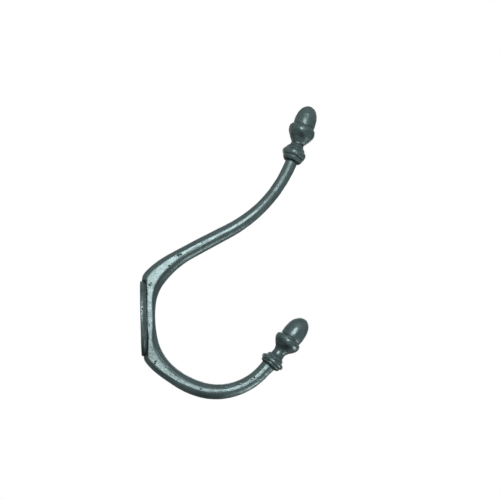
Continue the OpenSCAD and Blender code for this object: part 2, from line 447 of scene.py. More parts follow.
@dataclass(frozen=True)
class Bar:
    """The bar, swept from the lower collar through the spine to the upper collar.

    Each section is a rounded oblong that stands on the inner edge.  Its front corners
    are tight at mid-spine and grow until the arms are round.  Fades run along an arm
    unless their comment says otherwise.
    """

    spine_out: float = 8.5
    spine_w: float = 8.6
    spine_corner: float = 1.6
    # The back keeps wall_gap off the wall; where it slants less than least_slant towards
    # the wall, the room behind it counts as open_room depths.
    wall_gap: float = 0.9
    corner_blend: float = 1.0
    least_slant: float = 0.01
    open_room: float = 100.0
    rise_r: float = 92.3
    shoulder_r: float = 25.4
    lower_root_depth: float = 13.4
    bowl_d: float = 9.4
    lower_end_d: float = 8.1
    upper_root_depth: float = 13.8
    upper_arm_d: float = 9.0
    upper_waist_d: float = 7.3
    upper_end_d: float = 7.5
    waist_share: float = 0.29
    swell_share: float = 0.25
    # Places as counts of arcs: where the bowl's even depth starts and ends, and where the
    # upper arm is round.
    bowl_arcs: Pair = (2.15, 2.75)
    upper_round_arcs: float = 3.5
    # Up to heel_from the back corners are heel_share of their full size.  The width changes
    # from width_from of the root's end, on the lower arm to lower_round of it, and the
    # front corners are full at corner_to of the root's start.
    heel_share: float = 0.6
    heel_from: float = 4.0
    width_from: float = 0.75
    lower_round: float = 1.3
    corner_to: float = 1.6
    # Metal rubbed off the sides at the roots, which leaves a narrow flat: a product of fades.
    rubs: dict[Arm, tuple[Fade, ...]] = field(default_factory=lambda: {
        Arm.UPPER: (Fade(0.0, 0.17, 24.0, 38.0), Fade(1.0, 0.2, 44.0, 68.0),
                    Fade(1.0, 0.0, 90.0, 104.0)),
        Arm.LOWER: (Fade(0.0, 0.17, 12.0, 22.0), Fade(1.9, 0.35, 26.0, 58.0))})
    # Metal filed off the inner corners, full where they are this large; and the painted dark
    # reflection line there, its place as a share of the corner's radius and its width as a length and a
    # share.
    edge_bite: Fade = Fade(0.26, 0.0, 30.0, 81.6)
    edge_full_r: float = 4.0
    edge_dark: Fade = Fade(0.7, 0.0, 30.0, 66.0)
    edge_line: Triple = (0.8, 0.25, 0.13)
    # Rough skin left at the long arm's end and on the hook's heel, there also across the bar.
    end_rough: Fade = Fade(0.0, 1.0, 86.0, 104.0)
    heel_rough: Fade = Fade(0.0, 0.6, 58.0, 66.0)
    heel_across: Fade = Fade(0.0, 1.0, 0.62, 0.78)
    fettle_depth: float = 0.16
    fettle_size: float = 1.5
    # Painted shade on the lower hook's outer side, under the bowl and nearer the spine.
    painted_shade: tuple[PaintedShade, ...] = (
        PaintedShade(53.0, 9.0, Fade(0.0, 0.6, 0.56, 0.74), Fade(1.0, 1.0, 0.86, 0.96)),
        PaintedShade(27.0, 9.0, Fade(0.0, 0.5, 0.66, 0.76), Fade(1.0, 0.2, 0.86, 0.96)))
    # Painted shade against the collars, beside the plate by distance off the wall along X, and in pits
    # deeper than pit_from.
    collar_shade: Pair = (1.1, 0.2)
    plate_shade: Fade = Fade(1.0, 0.0, 3.9, 4.3)
    plate_reach: float = 22.6
    pit_from: float = 0.2
    pit_dark: float = 1.6
    # The skin stands proud by its mean depth, up Z, but not at the bowl's lowest.
    proud: Fade = Fade(0.0, 1.0, -47.0, -44.0)
    collar_flare: float = 0.6
    flare_length: float = 6.0
    ring_step: float = 0.36
    columns: int = 112
    scars: dict[Arm, tuple[Scar, ...]] = field(default_factory=lambda: {
        Arm.UPPER: (
            Scar(16.6, 0.55, 0.5, 0.9, 0.35, 20.0), Scar(17.6, 0.50, 0.4, 0.5, 0.30),
            Scar(38.3, 0.62, 0.5, 1.3, 0.50, 6.0), Scar(39.6, 0.57, 0.5, 0.9, 0.45, -8.0),
            Scar(36.9, 0.66, 0.3, 0.8, 0.25), Scar(44.0, 0.70, 0.6, 0.5, 0.25),
            Scar(66.0, 0.30, 1.4, 0.3, 0.16, 12.0), Scar(113.8, 0.55, 0.4, 1.0, 0.22, 28.0),
            Scar(115.6, 0.50, 0.4, 0.9, 0.20, -25.0), Scar(27.0, 0.52, 0.6, 0.5, 0.30, 10.0, 1),
            Scar(78.0, 0.45, 0.9, 0.4, 0.22, -30.0, 1)),
        Arm.LOWER: (
            Scar(4.4, 0.50, 0.6, 0.3, 0.22), Scar(23.6, 0.59, 0.3, 1.0, 0.40, 8.0),
            Scar(29.0, 0.44, 0.4, 0.5, 0.30), Scar(51.0, 0.53, 0.4, 0.9, 0.28, -15.0),
            Scar(64.5, 0.29, 1.2, 0.4, 0.22, 18.0), Scar(68.5, 0.25, 1.4, 0.4, 0.24, -12.0),
            Scar(72.5, 0.31, 1.2, 0.4, 0.22, 25.0), Scar(78.6, 0.42, 1.2, 0.4, 0.34, 30.0),
            Scar(81.5, 0.78, 1.6, 0.5, 0.22, 35.0), Scar(85.5, 0.84, 1.0, 0.6, 0.24, -20.0),
            Scar(18.0, 0.40, 0.5, 0.7, 0.30, 25.0, 1), Scar(60.0, 0.55, 1.1, 0.4, 0.24, 15.0, 1))})

    def edge(self, arm: Arm) -> Chain:
        """Inner edge of an arm, from the middle of the spine.

        Args:
            arm: Which arm.

        Returns:
            Its arcs.
        """
        if arm is Arm.UPPER:
            return Chain((self.spine_out, 0.0, 90.0), (
                Arc.of(58.5, -8.2), Arc.of(self.shoulder_r, -28.8), Arc.of(54.0, -25.5),
                Arc(25.7, 0.0), Arc.of(self.rise_r, 40.0)))
        return Chain((self.spine_out, 0.0, -90.0), (
            Arc.of(64.0, 10.2), Arc.of(31.4, 39.8), Arc.of(47.0, 21.8), Arc.of(31.7, 66.0),
            Arc(4.6, 0.0)))

    def law(self, arm: Arm) -> tuple[tuple[float, ...], tuple[float, ...]]:
        """Places along an arm and its depths there, with the first two at its root.

        Args:
            arm: Which arm.

        Returns:
            Distances along the inner edge, and depths; between them the depth is eased.
        """
        edge = self.edge(arm)
        if arm is Arm.UPPER:
            return ((edge.reach(1) + self.shoulder_r * self.swell_share, edge.reach(3),
                     edge.length - self.rise_r * self.waist_share, edge.length),
                    (self.upper_root_depth, self.upper_arm_d, self.upper_waist_d, self.upper_end_d))
        return ((edge.reach(1), *map(edge.reach, self.bowl_arcs), edge.reach(4)),
                (self.lower_root_depth, self.bowl_d, self.bowl_d, self.lower_end_d))

    def stations(self, arm: Arm, d: Array) -> Stations:
        """Sections at distances along one arm.

        The back stops a little off the wall, so where the outward direction runs to the
        wall the depth is the soft minimum of its own law a and the room b that is left,
        (a + b - sqrt((a - b)^2 + blend^2)) / 2.

        Args:
            arm: Which arm.
            d: Distances from the middle of the spine.

        Returns:
            The sections.
        """
        edge, (places, depths) = self.edge(arm), self.law(arm)
        start, root_end = places[:2]
        upper = arm is Arm.UPPER
        round_at = edge.reach(self.upper_round_arcs) if upper else root_end * self.lower_round
        law = depths[0] + sum(ease(0.0, b - a, d, p, q)
                              for a, b, p, q in zip(depths, depths[1:], places, places[1:]))
        points, headings = edge.walk(d)
        back = arm.value * np.stack([-np.sin(headings), np.cos(headings)], axis=1)
        to_wall = np.maximum(-back[:, 0], self.least_slant)
        room = np.where(-back[:, 0] > self.least_slant, (points[:, 0] - self.wall_gap) / to_wall,
                        law * self.open_room)
        depth = (law + room - np.sqrt((law - room) ** 2 + self.corner_blend**2)) / 2.0
        width = ease(self.spine_w, law, d, root_end * self.width_from, round_at)
        round_r = np.minimum(width, depth) / 2.0
        inner = ease(self.spine_corner, round_r, d, 0.0, start * self.corner_to)
        inner = np.minimum(inner, round_r)
        outer = np.minimum(width / 2.0, depth - inner) * ease(
            self.heel_share, 1.0, d, self.heel_from, start)
        return Stations(d, points, headings, back, depth, width, inner, outer)

    def sections(self, s: Stations) -> Array:
        """Points round each section, evenly spaced along its outline.

        Half the outline has five stretches, from the middle of the inner side: half of
        that side, a corner, a flank, a corner, and half the back; the other half mirrors
        them.  A point at length s along a straight lies at start + s times its direction,
        and on a corner of radius r at angle s / r from where the corner starts.

        Args:
            s: The sections.

        Returns:
            Points (rows, columns, 3) in millimetres.
        """
        w, t, ri, ro = (v[:, None] for v in (s.width, s.depth, s.inner_r, s.outer_r))
        front, flank, top = w / 2.0 - ri, t - ri - ro, w / 2.0 - ro
        stretches = [front, ri * np.pi / 2.0, flank, ro * np.pi / 2.0, top]
        ends = np.cumsum(np.concatenate(stretches, axis=1), axis=1)
        half = ends[:, -1:]
        at = (np.arange(self.columns) + 0.5)[None, :] / self.columns * 2.0 * half
        mirror = np.where(at > half, -1.0, 1.0)
        at = np.minimum(at, 2.0 * half - at)
        part = np.minimum((at[:, :, None] >= ends[:, None, :]).sum(axis=2), 4)
        starts = np.concatenate([np.zeros_like(w), ends[:, :-1]], axis=1)
        run = at - np.take_along_axis(starts, part, axis=1)
        turn_in, turn_out = run / np.maximum(ri, 1e-6), run / np.maximum(ro, 1e-6)
        pick = [part == k for k in range(5)]
        across = np.select(pick, [run, front + ri * np.sin(turn_in), w / 2.0 + 0.0 * run,
                                  top + ro * np.cos(turn_out), top - run])
        out = np.select(pick, [0.0 * run, ri * (1.0 - np.cos(turn_in)), ri + run,
                               t - ro + ro * np.sin(turn_out), t + 0.0 * run])
        x = s.points[:, :1] + s.back[:, :1] * out
        z = s.points[:, 1:] + s.back[:, 1:] * out
        return np.stack([x, across * mirror, z], axis=-1)

    def skin(self, surface: CastSkin, covered: dict[Arm, float]) -> Skin:
        """The bar's surface, with the casting's skin sunk into it.

        Args:
            surface: The casting's skin.
            covered: How much of each arm's end lies inside its collar.

        Returns:
            The surface, open at its two ends, which lie inside the collars.
        """
        arms = [self.arm_skin(arm, covered[arm]) for arm in (Arm.LOWER, Arm.UPPER)]
        grid, sunk, recess, dull = (np.concatenate(parts) for parts in zip(*arms))
        normals = outward_normals(grid)
        sink = surface.depth(grid) - surface.middle(1.0) * self.proud.at(grid[..., 2]) + sunk
        grid = grid - normals * sink[..., None]
        # Painted shade beside the plate and in pits.
        joint_shade = self.plate_shade.at(grid[..., 0]) * (np.abs(grid[..., 2]) < self.plate_reach)
        pits = self.pit_dark * np.clip(sunk - self.pit_from, 0.0, None)
        return Skin.of_grid(grid, recess + joint_shade + pits, dull)

    def arm_skin(self, arm: Arm, covered: float) -> tuple[Array, ...]:
        """One arm's points, before the casting's skin, and what is to be done to them.

        Args:
            arm: Which arm; the lower one runs towards the spine.
            covered: How much of its end lies inside its collar.

        Returns:
            Points, depths to sink them by, painted shade and dull values.
        """
        length = self.edge(arm).length
        d = np.linspace(0.0, length, round(length / self.ring_step))
        s = self.stations(arm, d[:0:-1] if arm is Arm.LOWER else d)
        rows = self.sections(s)
        rubbed = math.prod(fade.at(s.d) for fade in self.rubs[arm])
        limit = (s.width / 2.0 - rubbed)[:, None]
        rows[..., 1] = np.clip(rows[..., 1], -limit, limit)
        out = s.out_from_edge(rows)
        share = np.clip(out / s.depth[:, None], 0.0, 1.0)
        # dark is a painted dark reflection line along the filed edge.
        filed, dark = self.edge_marks(s, out)
        if arm is Arm.LOWER:
            flare = ease(0.0, self.collar_flare, s.d, length - self.flare_length, length - 1.0)
            push = flare[:, None] * share**2
            rows = rows + push[..., None] * np.insert(s.back, 1, 0.0, axis=1)[:, None, :]
            rough = self.heel_rough.at(s.d)[:, None] * self.heel_across.at(share)
            # Painted shade on the lower hook's outer side.
            dark = dark + sum(painted_shade.at(s.d, share) for painted_shade in self.painted_shade)
        else:
            rough = self.end_rough.at(s.d)[:, None] + 0.0 * share
        fettled = self.fettle_depth * rough * smooth_noise(rows, self.fettle_size, Field.FETTLED)
        sunk = filed + fettled + sum(scar.sunk(rows, s, out) for scar in self.scars[arm])
        # Painted shade where the arm runs into its collar.
        joint_shade = ease(0.0, 1.0, s.d, *(length - covered - back for back in self.collar_shade))
        return rows, sunk, np.maximum(joint_shade[:, None], dark), rough

    def edge_marks(self, s: Stations, out: Array) -> tuple[Array, Array]:
        """The crisp edge that filing leaves along the flat sides, and a painted dark reflection beside
        it.

        The metal filed off an inner corner is the bite times sin 2a, with a the angle
        round the corner; the painted dark line is a bell across it.  Both fade out along the arm.

        Args:
            s: The sections.
            out: Distances from the inner edge.

        Returns:
            Depths in millimetres, and darkness.
        """
        corner = s.inner_r[:, None]
        turned = np.sin(2.0 * np.arcsin(np.clip(1.0 - out / corner, 0.0, 1.0)))
        grown = np.clip(s.inner_r / self.edge_full_r, 0.0, 1.0)
        share, width, wider = self.edge_line
        line = np.exp(-(((out - share * corner) / (width + wider * corner)) ** 2))
        bite = self.edge_bite.at(s.d) * grown
        return turned * bite[:, None], line * self.edge_dark.at(s.d)[:, None]


# --- The turned acorns ---


@dataclass(frozen=True)
class Dent:
    """A shallow hollow left in a turned part by the mould, oval, at a turn round its axis; dark is
    painted shade laid into it.
    """

    height: float
    turn: float
    tall: float
    wide: float
    depth: float
    dark: float = 0.0

    def bell(self, r: Array, z: Array, a: Array) -> Array:
        """exp(-(rise / tall)^2 - (arc / wide)^2), with the arc measured round the surface.

        Args:
            r: Radius at each height.
            z: Heights.
            a: Angles round the axis.

        Returns:
            Values (heights, angles) from 0 to 1.
        """
        arc = r[:, None] * np.angle(np.exp(1j * (a - math.radians(self.turn))))
        return np.exp(-(((z - self.height) / self.tall) ** 2)[:, None] - (arc / self.wide) ** 2)


@dataclass(frozen=True)
class Acorn:
    """A turned collar and acorn: a profile carried round an axis.

    Heights run from the collar's foot to the tip of the nut.  The collar stands on the
    bar's end, its foot sunk into the bar and its axis a little off the bar's own.
    tilt is how many degrees the collar and cup lie out of square with the axis, as the
    pattern's halves were set; it dies away over the nut.
    """

    foot_d: float = 10.0
    small_bead_d: float = 12.5
    small_bead_h: float = 1.7
    groove_d: float = 12.1
    large_bead_d: float = 14.6
    large_bead_h: float = 3.1
    ring_d: float = 11.5
    ring_top_d: float = 9.5
    ring_h: float = 2.2
    cove_h: float = 2.8
    neck_d: float = 7.6
    cup_under_h: float = 8.1
    cup_fullness: float = 0.0
    cup_d: float = 16.25
    cup_rim_h: float = 2.5
    crease_d: float = 12.7
    nut_d: float = 13.65
    nut_belly_h: float = 2.7
    nut_tip_h: float = 12.0
    nut_fullness: float = 2.5
    lean: float = 2.2
    shift: float = 0.6
    sunk: float = 1.0
    tilt: float = 0.0
    # Step over the ring, and the turned lines: how deep, how dark their painted shade is, and how they
    # come and go.
    turned_step: float = 0.2
    line_bite: float = 0.12
    line_dark: float = 0.42
    line_patch: float = 3.5
    line_wander: Pair = (0.35, 1.1)
    crease_line: float = 1.0
    neck_line: Triple = (0.9, 0.55, 0.9)
    # The cast skin: how coarse it is, how far the nut's stands proud and over what heights
    # below and above the crease it changes, the radius at the tip inside which it calms
    # down, its pits and its dents.
    collar_gain: float = 3.6
    nut_gain: float = 1.6
    nut_proud: float = 0.35
    nut_blend: Pair = (1.5, 2.0)
    calm_tip_r: float = 2.0
    pitting: float = 0.10
    pit_size: float = 1.5
    pit_shape: Fade = Fade(0.0, 1.0, 0.45, 0.75)
    pit_mean: float = 0.3
    dents: tuple[Dent, ...] = (
        Dent(13.9, 278.0, 1.2, 2.1, 0.30, 0.75), Dent(16.6, 250.0, 0.7, 0.8, 0.14),
        Dent(20.9, 284.0, 0.8, 1.0, 0.16), Dent(11.6, 258.0, 0.5, 0.9, 0.12, 0.30),
        Dent(3.0, 262.0, 0.5, 0.9, 0.14, 0.30), Dent(15.2, 100.0, 1.0, 1.6, 0.20, 0.50))
    # Painted shade at the foot and under the cup, there full between two heights over the neck;
    # and how dull the nut is, from where to where about the crease.
    foot_dark: float = 1.2
    foot_reach: float = 0.5
    under_dark: float = 0.45
    under_reach: Pair = (1.5, 5.0)
    dullness: float = 0.1
    dull_blend: Pair = (-1.0, 1.0)
    # Points: up the small bead, large bead, ring, a quarter turn, under the cup and the tip;
    # evenly up the whole; round it; and the least gap between two of them.
    points: tuple[int, ...] = (18, 24, 8, 14, 34, 40)
    along: int = 250
    around: int = 160
    least_gap: float = 0.02

    @property
    def ring_z(self) -> float:
        """Height of the ring above the two beads."""
        return self.small_bead_h + self.large_bead_h

    @property
    def neck_z(self) -> float:
        """Height of the neck."""
        return self.ring_z + self.ring_h + self.cove_h

    @property
    def crease_z(self) -> float:
        """Height of the crease between cup and nut."""
        return self.neck_z + self.cup_under_h + self.cup_rim_h

    @staticmethod
    def bead(low_d: float, d: float, high_d: float, z: float, h: float, n: int) -> Array:
        """Half-oval bead: z rises as (1 - cos a) / 2 while the radius bulges as sin a.

        Args:
            low_d, d, high_d: Diameters at its lower edge, its widest and its upper edge.
            z, h: Height of its lower edge, and its own height.
            n: Number of points, its upper edge left out.

        Returns:
            Points (n, 2) as radius and height.
        """
        a = np.linspace(0.0, np.pi, n, endpoint=False)
        up = (1.0 - np.cos(a)) / 2.0
        edge = low_d + (high_d - low_d) * up
        return np.stack([edge / 2 + (d - (low_d + high_d) / 2) / 2 * np.sin(a), z + h * up], axis=1)

    def profile(self) -> Array:
        """Radius and height up the outside, from the foot to the tip.

        Under the cup the radius goes from neck to rim by a blend of the wave
        (1 - cos 180 u) / 2 and the bowl sin 90 u; the nut's tip is
        sqrt(1 - u^fullness) of its radius at the share u of its height.

        Returns:
            Points (n, 2) in millimetres.
        """
        cove_z, cup_z = self.ring_z + self.ring_h, self.neck_z + self.cup_under_h
        small_n, large_n, ring_n, quarter_n, under_n, tip_n = self.points
        quarter = np.linspace(0.0, np.pi / 2, quarter_n)
        u = np.linspace(0.0, 1.0, under_n)[1:]
        top = np.sin(np.linspace(0.0, np.pi / 2, tip_n))
        crease, neck, nut = self.crease_d / 2, self.neck_d / 2, self.nut_d / 2
        lip = (self.ring_top_d - self.neck_d) / 2 - self.turned_step
        step = np.linspace(0.0, 1.0, ring_n)
        wave, bowl = (1 - np.cos(np.pi * u)) / 2, np.sin(np.pi / 2 * u)
        under = neck + (self.cup_d / 2 - neck) * (wave + (bowl - wave) * self.cup_fullness)
        beads = [
            self.bead(self.foot_d, self.small_bead_d, self.groove_d, 0.0, self.small_bead_h,
                      small_n),
            self.bead(self.groove_d, self.large_bead_d, self.ring_d, self.small_bead_h,
                      self.large_bead_h, large_n)]
        turned = [
            (self.ring_d / 2 + (self.ring_top_d - self.ring_d) / 2 * step,
             self.ring_z + self.ring_h * step),
            (neck + lip * (1 - np.sin(quarter)),
             cove_z + self.least_gap + self.cove_h * (1 - np.cos(quarter))),
            (under, self.neck_z + self.cup_under_h * u),
            (crease + (self.cup_d / 2 - crease) * np.cos(quarter[1:]),
             cup_z + self.cup_rim_h * np.sin(quarter[1:])),
            (crease + (nut - crease) * np.sin(quarter[1:-1]),
             self.crease_z + self.nut_belly_h * (1 - np.cos(quarter[1:-1]))),
            (nut * np.sqrt(np.maximum(1 - top**self.nut_fullness, 0.0)),
             self.crease_z + self.nut_belly_h + self.nut_tip_h * top)]
        return np.concatenate(beads + [np.stack(pair, axis=1) for pair in turned])

    def lines(self) -> tuple[Triple, ...]:
        """The turned lines: between the beads, round ring and neck, under the cup, at the crease.

        Returns:
            Height, width and share of the full bite of each.
        """
        cove_z = self.ring_z + self.ring_h
        return (
            (self.small_bead_h, 0.30, 1.0), (self.ring_z, 0.35, 1.2), (cove_z, 0.30, 1.4),
            (cove_z + self.neck_line[0], *self.neck_line[1:]),
            (self.neck_z + 2.9, 0.30, 0.8), (self.neck_z + 5.2, 0.30, 0.6),
            (self.crease_z, 0.40, self.crease_line))

    def skin(self, place: Matrix, surface: CastSkin) -> Skin:
        """The acorn's surface in its place, with its turned lines cut and the skin sunk in.

        A point of the profile at radius r and height z goes to r cos a, r sin a, z for
        each angle a, and the tilt lowers it by tan tilt times its own x.  A turned line
        of width w at height h sinks the surface by its bite times exp(-((z - h) / w)^2).

        Args:
            place: Where the collar stands, in millimetres.
            surface: The casting's skin.

        Returns:
            The surface, closed at its foot and its tip.
        """
        profile = self.profile()
        step = np.r_[0.0, np.cumsum(np.hypot(*np.diff(profile, axis=0).T))]
        even = np.union1d(np.linspace(0.0, step[-1], self.along), step)
        even = even[np.r_[True, np.diff(even) > self.least_gap]]
        r, z = (np.interp(even, step, profile[:, k]) for k in (0, 1))
        a = np.arange(self.around) * 2.0 * np.pi / self.around
        slope = ease(math.tan(math.radians(self.tilt)), 0.0, z, self.crease_z,
                     self.crease_z + self.nut_belly_h + self.nut_tip_h)[:, None]
        x, y = r[:, None] * np.cos(a), r[:, None] * np.sin(a)
        grid = np.stack([x, y, (z - self.sunk)[:, None] - slope * x], axis=-1)
        grid = grid @ np.array(place.to_3x3()).T + np.array(place.translation)
        normals = outward_normals(grid)
        cuts = [share * np.exp(-(((z - h) / w) ** 2)) for h, w, share in self.lines()]
        steady, wander = self.line_wander
        cut = (np.sum(cuts, axis=0) * (z > self.sunk))[:, None]
        cut = cut * (steady + wander * smooth_noise(grid, self.line_patch, Field.TURNED))
        below, above = self.nut_blend
        on_nut = ease(0.0, 1.0, z, self.crease_z - below, self.crease_z + above)[:, None]
        gain = self.collar_gain + (self.nut_gain - self.collar_gain) * on_nut
        bare = 1.0 + (self.nut_proud - 1.0) * on_nut
        pits = self.pit_shape.at(smooth_noise(grid, self.pit_size, Field.PITS)) - self.pit_mean
        sink = surface.depth(grid, gain) + bare * (self.pitting * pits - surface.middle(gain))
        sink = sink * np.clip(r / self.calm_tip_r, 0.0, 1.0)[:, None]
        bells = [(dent, dent.bell(r, z, a)) for dent in self.dents]
        sink = sink + sum(dent.depth * bell for dent, bell in bells)
        grid = grid - normals * (sink + self.line_bite * cut)[..., None]
        grid[-1] = grid[-1].mean(axis=0)
        # Painted shade at the foot and under the cup.
        full, last = self.under_reach
        under = ease(0.0, 1.0, z, self.neck_z, self.neck_z + full) * ease(
            1.0, 0.0, z, self.neck_z + last, self.neck_z + self.cup_under_h)
        painted_shade = self.foot_dark * np.exp(-((z / self.foot_reach) ** 2)) + self.under_dark * under
        # Painted shade in the dents.
        dent_shade = sum(dent.dark * bell for dent, bell in bells)
        dull = ease(0.0, self.dullness, z, *(self.crease_z + way for way in self.dull_blend))
        # Painted shade in the turned lines, at the foot, under the cup and in the dents.
        return Skin.of_grid(grid, self.line_dark * cut + painted_shade[:, None] + dent_shade, dull[:, None])


UPPER_ACORN = Acorn(
    foot_d=9.6, small_bead_d=12.2, small_bead_h=2.9, groove_d=12.5, large_bead_h=4.1,
    ring_d=12.6, ring_top_d=10.6, neck_d=8.3, cup_fullness=0.9, cup_d=16.6, cup_rim_h=2.9,
    crease_d=13.2, nut_belly_h=2.0, nut_tip_h=11.5, lean=1.5, shift=0.15, sunk=2.2, tilt=3.0,
    dullness=0.85, collar_gain=4.4, nut_gain=3.0, under_dark=0.10, crease_line=0.55,
    neck_line=(2.0, 0.75, 1.7), pitting=0.09,
    dents=(
        Dent(16.0, 272.0, 1.5, 2.9, 0.36, 0.85), Dent(14.2, 292.0, 0.7, 1.0, 0.16, 0.20),
        Dent(15.4, 244.0, 0.8, 0.9, 0.16), Dent(18.6, 288.0, 0.7, 0.9, 0.16),
        Dent(4.6, 276.0, 0.8, 1.0, 0.20, 0.40), Dent(7.6, 254.0, 0.5, 1.1, 0.16, 0.30),
        Dent(17.0, 95.0, 1.1, 1.8, 0.22, 0.45)))


# --- The back plate ---


@dataclass(frozen=True)
class BackPlate:
    """The oval back plate with its two countersunk screw holes.

    Each half is a grid that runs from the back rim of its hole through the bore, over
    the front, round the edge and back across the wall side.
    """

    height: float = 45.0
    width: float = 32.0
    thickness: float = 3.4
    back_round: float = 0.6
    front_round: float = 2.3
    screw_d: float = 4.5
    head_d: float = 8.2
    screw_spacing: float = 18.8
    # The rim starts where (y / half width)^2 + (z / half height)^2 reaches rim_from.
    rim_from: float = 0.8
    rim_over: float = 0.12
    rim_gain: float = 4.6
    rim_blotch: float = 0.25
    blotch_size: float = 1.6
    blotch_shape: Fade = Fade(0.0, 1.0, 0.5, 0.7)
    # Painted shade: the rim's low end, up Z; the front beside the spine; the bores.
    low_end: Fade = Fade(0.9, 0.0, -20.0, -12.0)
    joint_shade_y: float = 4.0
    joint_shade_w: float = 1.0
    bore_dark: float = 0.8
    bore_w: float = 1.5
    # Points round half the oval and down the middle; and rows over the bore, countersink,
    # front, front rounding, back rounding and wall side.
    oval_points: int = 150
    middle_points: int = 60
    rows: tuple[int, ...] = (4, 6, 22, 14, 7, 14)

    def outline(self, inset: float) -> Array:
        """Half the oval, drawn in by an inset, closed down the plate's middle line.

        The first points are (a cos t, b sin t) for t from -90 to 90 degrees, where a and b
        are the half width and height less the inset, and the rest are evenly spaced down
        the middle line.

        Args:
            inset: How far inside the plate's edge.

        Returns:
            Points (n, 2) as y and z.
        """
        a, b = self.width / 2 - inset, self.height / 2 - inset
        t = np.linspace(-np.pi / 2, np.pi / 2, self.oval_points)
        oval = np.stack([a * np.cos(t), b * np.sin(t)], axis=1)
        down = np.linspace(b, -b, self.middle_points)[1:-1]
        return np.concatenate([oval, np.stack([0.0 * down, down], axis=1)])

    def half(self, side: int) -> tuple[Array, Array]:
        """One half of the plate as a grid, and which of its faces to keep.

        Args:
            side: 1 for the half on +Y, -1 for the other.

        Returns:
            Points (n, 3), and faces (m, 4) without those on the middle plane.
        """
        centre = np.array([self.screw_spacing / 2, 0.0])
        aim = self.outline(0.0) - centre
        aim = aim / np.linalg.norm(aim, axis=1, keepdims=True)
        bore, head = centre + aim * self.screw_d / 2, centre + aim * self.head_d / 2
        front, back = self.outline(self.front_round), self.outline(self.back_round)
        sink = (self.head_d - self.screw_d) / 2
        deep = self.thickness - sink
        step = [np.linspace(0.0, 1.0, n) for n in self.rows]
        rows = [(bore, deep * u) for u in step[0]]
        rows += [(bore + (head - bore) * u, deep + sink * u) for u in step[1][1:]]
        rows += [(head + (front - head) * u, self.thickness) for u in step[2][1:]]
        rows += [(self.outline(self.front_round * (1 - math.sin(a))),
                  self.thickness - self.front_round * (1 - math.cos(a)))
                 for a in step[3][1:] * np.pi / 2]
        rows += [(self.outline(self.back_round * (1 - math.cos(a))),
                  self.back_round * (1 - math.sin(a))) for a in step[4] * np.pi / 2]
        rows += [(back + (bore - back) * u, 0.0) for u in step[5][1:-1]]
        grid = np.stack([np.insert(p * [side, 1], 0, x, axis=1) for p, x in rows])
        faces = grid_faces(*grid.shape[:2], closed_rows=True)
        flat = grid.reshape(-1, 3)
        on_middle = (np.abs(flat[faces][:, :, 1]) < 1e-9).all(axis=1)
        return flat, faces[~on_middle]

    def skin(self, surface: CastSkin) -> Skin:
        """The plate's surface, both halves, with the casting's skin sunk in round the edge.

        Args:
            surface: The casting's skin.

        Returns:
            The surface.
        """
        halves = [self.half(side) for side in (1, -1)]
        flat = np.concatenate([points for points, _ in halves])
        faces = np.concatenate([halves[0][1], halves[1][1] + len(halves[0][0])])
        away = (flat - [self.thickness / 2, 0.0, 0.0]) * [0.0, 1.0, (self.width / self.height) ** 2]
        away = away / np.maximum(np.linalg.norm(away, axis=1, keepdims=True), 1e-9)
        oval = (flat[:, 1] / (self.width / 2)) ** 2 + (flat[:, 2] / (self.height / 2)) ** 2
        rim = np.clip((oval - self.rim_from) / self.rim_over, 0.0, 1.0)
        flat = flat - away * (surface.depth(flat, self.rim_gain) * rim)[:, None]
        across, up = np.abs(flat[:, 1]), flat[:, 2]
        # Painted shade beside the spine, in the bores and at the rim's low end; the rim's blotches are
        # random tone.
        front = (flat[:, 0] > self.thickness - 0.01) & (oval < self.rim_from)
        joint_shade = np.clip(1.0 - (across - self.joint_shade_y) / self.joint_shade_w, 0.0, 1.0) * front
        hole = np.hypot(across - self.screw_spacing / 2, up)
        bore = self.bore_dark * np.clip((self.head_d / 2 - hole) / self.bore_w, 0.0, 1.0)
        low = self.low_end.at(up) * (oval > self.rim_from)
        patches = self.blotch_shape.at(smooth_noise(flat, self.blotch_size, Field.BLOTCH))
        recess = np.max([joint_shade, bore, low, self.rim_blotch * patches * rim], axis=0)
        return Skin(flat, faces, recess, np.zeros(len(flat)))


# --- Finishes ---


@dataclass
class NodeBench:
    """Places and links shader nodes in one tree."""

    tree: Tree

    def feed(self, value: object, target: Socket) -> None:
        """Links an input to a socket, or sets it where the value is a number or colour.

        Args:
            value: Socket, number or colour.
            target: The input.
        """
        if isinstance(value, Socket):
            self.tree.links.new(value, target)
        else:
            target.default_value = value

    def add(self, kind: str, **values: object) -> bpy.types.Node:
        """Adds a node and sets its properties or, by name, feeds its input sockets.

        Args:
            kind: The node's type name.
            values: Properties, or input sockets named with underscores for spaces.

        Returns:
            The node.
        """
        node = self.tree.nodes.new(kind)
        for key, value in values.items():
            if hasattr(node, key):
                setattr(node, key, value)
            else:
                self.feed(value, node.inputs[key.replace("_", " ")])
        return node

    def fed(self, kind: str, inputs: dict[int, object], **values: object) -> bpy.types.Node:
        """Adds a node and feeds its inputs by number.

        Args:
            kind: The node's type name.
            inputs: Sockets, numbers or colours for the numbered inputs.
            values: Its properties.

        Returns:
            The node.
        """
        node = self.add(kind, **values)
        for number, value in inputs.items():
            self.feed(value, node.inputs[number])
        return node

    def math(self, operation: str, a: object, b: object) -> Socket:
        """A Math node's result from two sockets or numbers."""
        return self.fed("ShaderNodeMath", {0: a, 1: b}, operation=operation).outputs[0]

    def blend(self, amount: object, a: object, b: object) -> Socket:
        """A colour mix: a where the amount is nought and b where it is one."""
        return self.fed("ShaderNodeMix", {0: amount, 6: a, 7: b}, data_type="RGBA").outputs[2]

    def span(self, value: Socket, edges: Pair, to_low: float, to_high: float) -> Socket:
        """Carries a value from the range between two edges to another and holds it there."""
        inputs = dict(enumerate((value, *edges, to_low, to_high)))
        return self.fed("ShaderNodeMapRange", inputs, clamp=True).outputs[0]

    def noise(self, where: Socket, scale: object, detail: float, rough: float = 0.5) -> Socket:
        """A noise texture's value, by its cells a metre, finer layers and their strength."""
        return self.add("ShaderNodeTexNoise", Vector=where, Scale=scale, Detail=detail,
                        Roughness=rough).outputs["Fac"]


